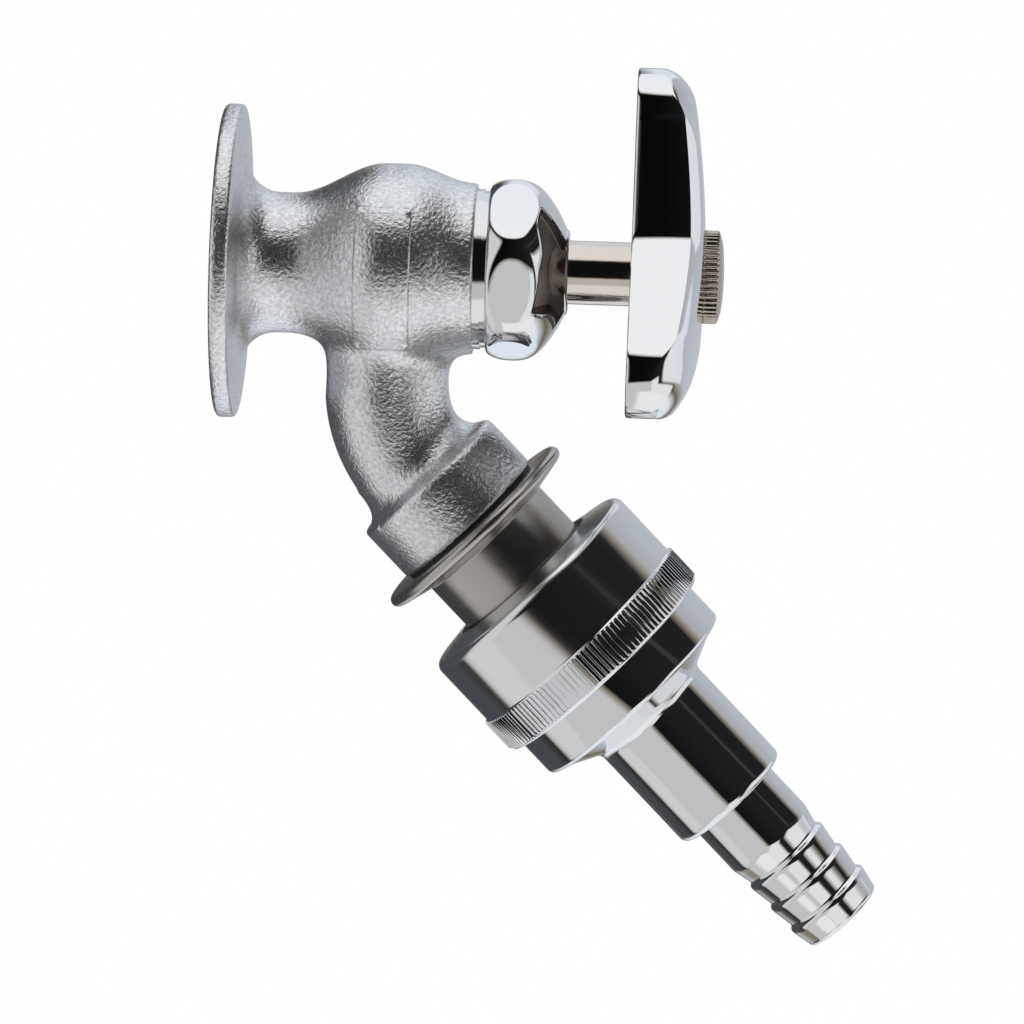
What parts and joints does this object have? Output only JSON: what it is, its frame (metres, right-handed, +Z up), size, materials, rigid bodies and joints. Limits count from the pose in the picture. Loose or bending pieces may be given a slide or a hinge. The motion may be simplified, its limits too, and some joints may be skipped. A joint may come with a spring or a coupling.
{
  "type": "wall-mounted tap",
  "caption": "Wall-mounted screw-down tap with a round flange, an armed handle on a rising valve, and a 45 degree outlet with a sleeve-release hose coupling.",
  "frame": {"origin": "centre of the wall face of the flange, on the inlet's axis", "axes": "+X out from the wall along the inlet and the spindle, +Z up, the outlet slopes down and away from the wall in the plane Y = 0"},
  "size_m": [0.1166, 0.0636, 0.152],
  "materials": {
    "cast_nickel": "nickel and chrome plated over a rough casting",
    "bright_nickel": "bright nickel plate",
    "mirror_chrome": "mirror chrome plate",
    "plain_brass": "machined, unplated",
    "warm_nickel": "polished nickel plate",
    "tinted_nickel": "knurled, thin nickel plate",
    "satin_nickel": "satin nickel plate, turned",
    "spring_steel": "stainless steel",
    "black_rubber": "moulded",
    "dark_plastic": "moulded"
  },
  "bodies": {
    "tap": {"tap_body": "cast_nickel", "bonnet_washer": "bright_nickel", "bonnet_gasket": "bright_nickel", "bonnet": "mirror_chrome", "packing_washer": "plain_brass", "stem_packing": "black_rubber", "nozzle_gasket": "black_rubber", "nozzle": "satin_nickel", "nozzle_oring": "black_rubber"},
    "valve": {"jumper": "plain_brass", "jumper_washer": "black_rubber", "jumper_nut": "plain_brass"},
    "handle_group": {"spindle": "warm_nickel", "handle": "mirror_chrome", "handle_cap": "tinted_nickel"},
    "coupling": {"coupling_socket": "mirror_chrome", "locking_balls": "spring_steel", "release_spring": "spring_steel", "sleeve_ring": "spring_steel", "socket_seal": "black_rubber", "hose_tail": "mirror_chrome", "tail_oring": "black_rubber"},
    "sleeve": {"coupling_sleeve": "mirror_chrome", "sleeve_wiper": "dark_plastic"}
  },
  "joints": [
    {"name": "valve_lift", "type": "slide", "parent": "tap", "child": "valve", "axis": [1, 0, 0], "range_m": [0, 0.0063]},
    {"name": "handle_turn", "type": "hinge", "parent": "valve", "child": "handle_group", "pos_m": [0, 0, 0], "axis": [1, 0, 0], "range_deg": [0, 900]},
    {"name": "coupling_swivel", "type": "hinge", "parent": "tap", "child": "coupling", "pos_m": [0.0291, 0, -0.0289], "axis": [0.7071, 0, -0.7071], "continuous": true},
    {"name": "sleeve_release", "type": "slide", "parent": "coupling", "child": "sleeve", "axis": [0.7071, 0, -0.7071], "range_m": [0, 0.003], "stiffness_N_per_m": 1500, "springref_m": -0.004, "deforming": ["release_spring"]}
  ],
  "couplings": [
    {"joint": "valve_lift", "follows": "handle_turn", "m_per_rad": 0.00039789}
  ]
}
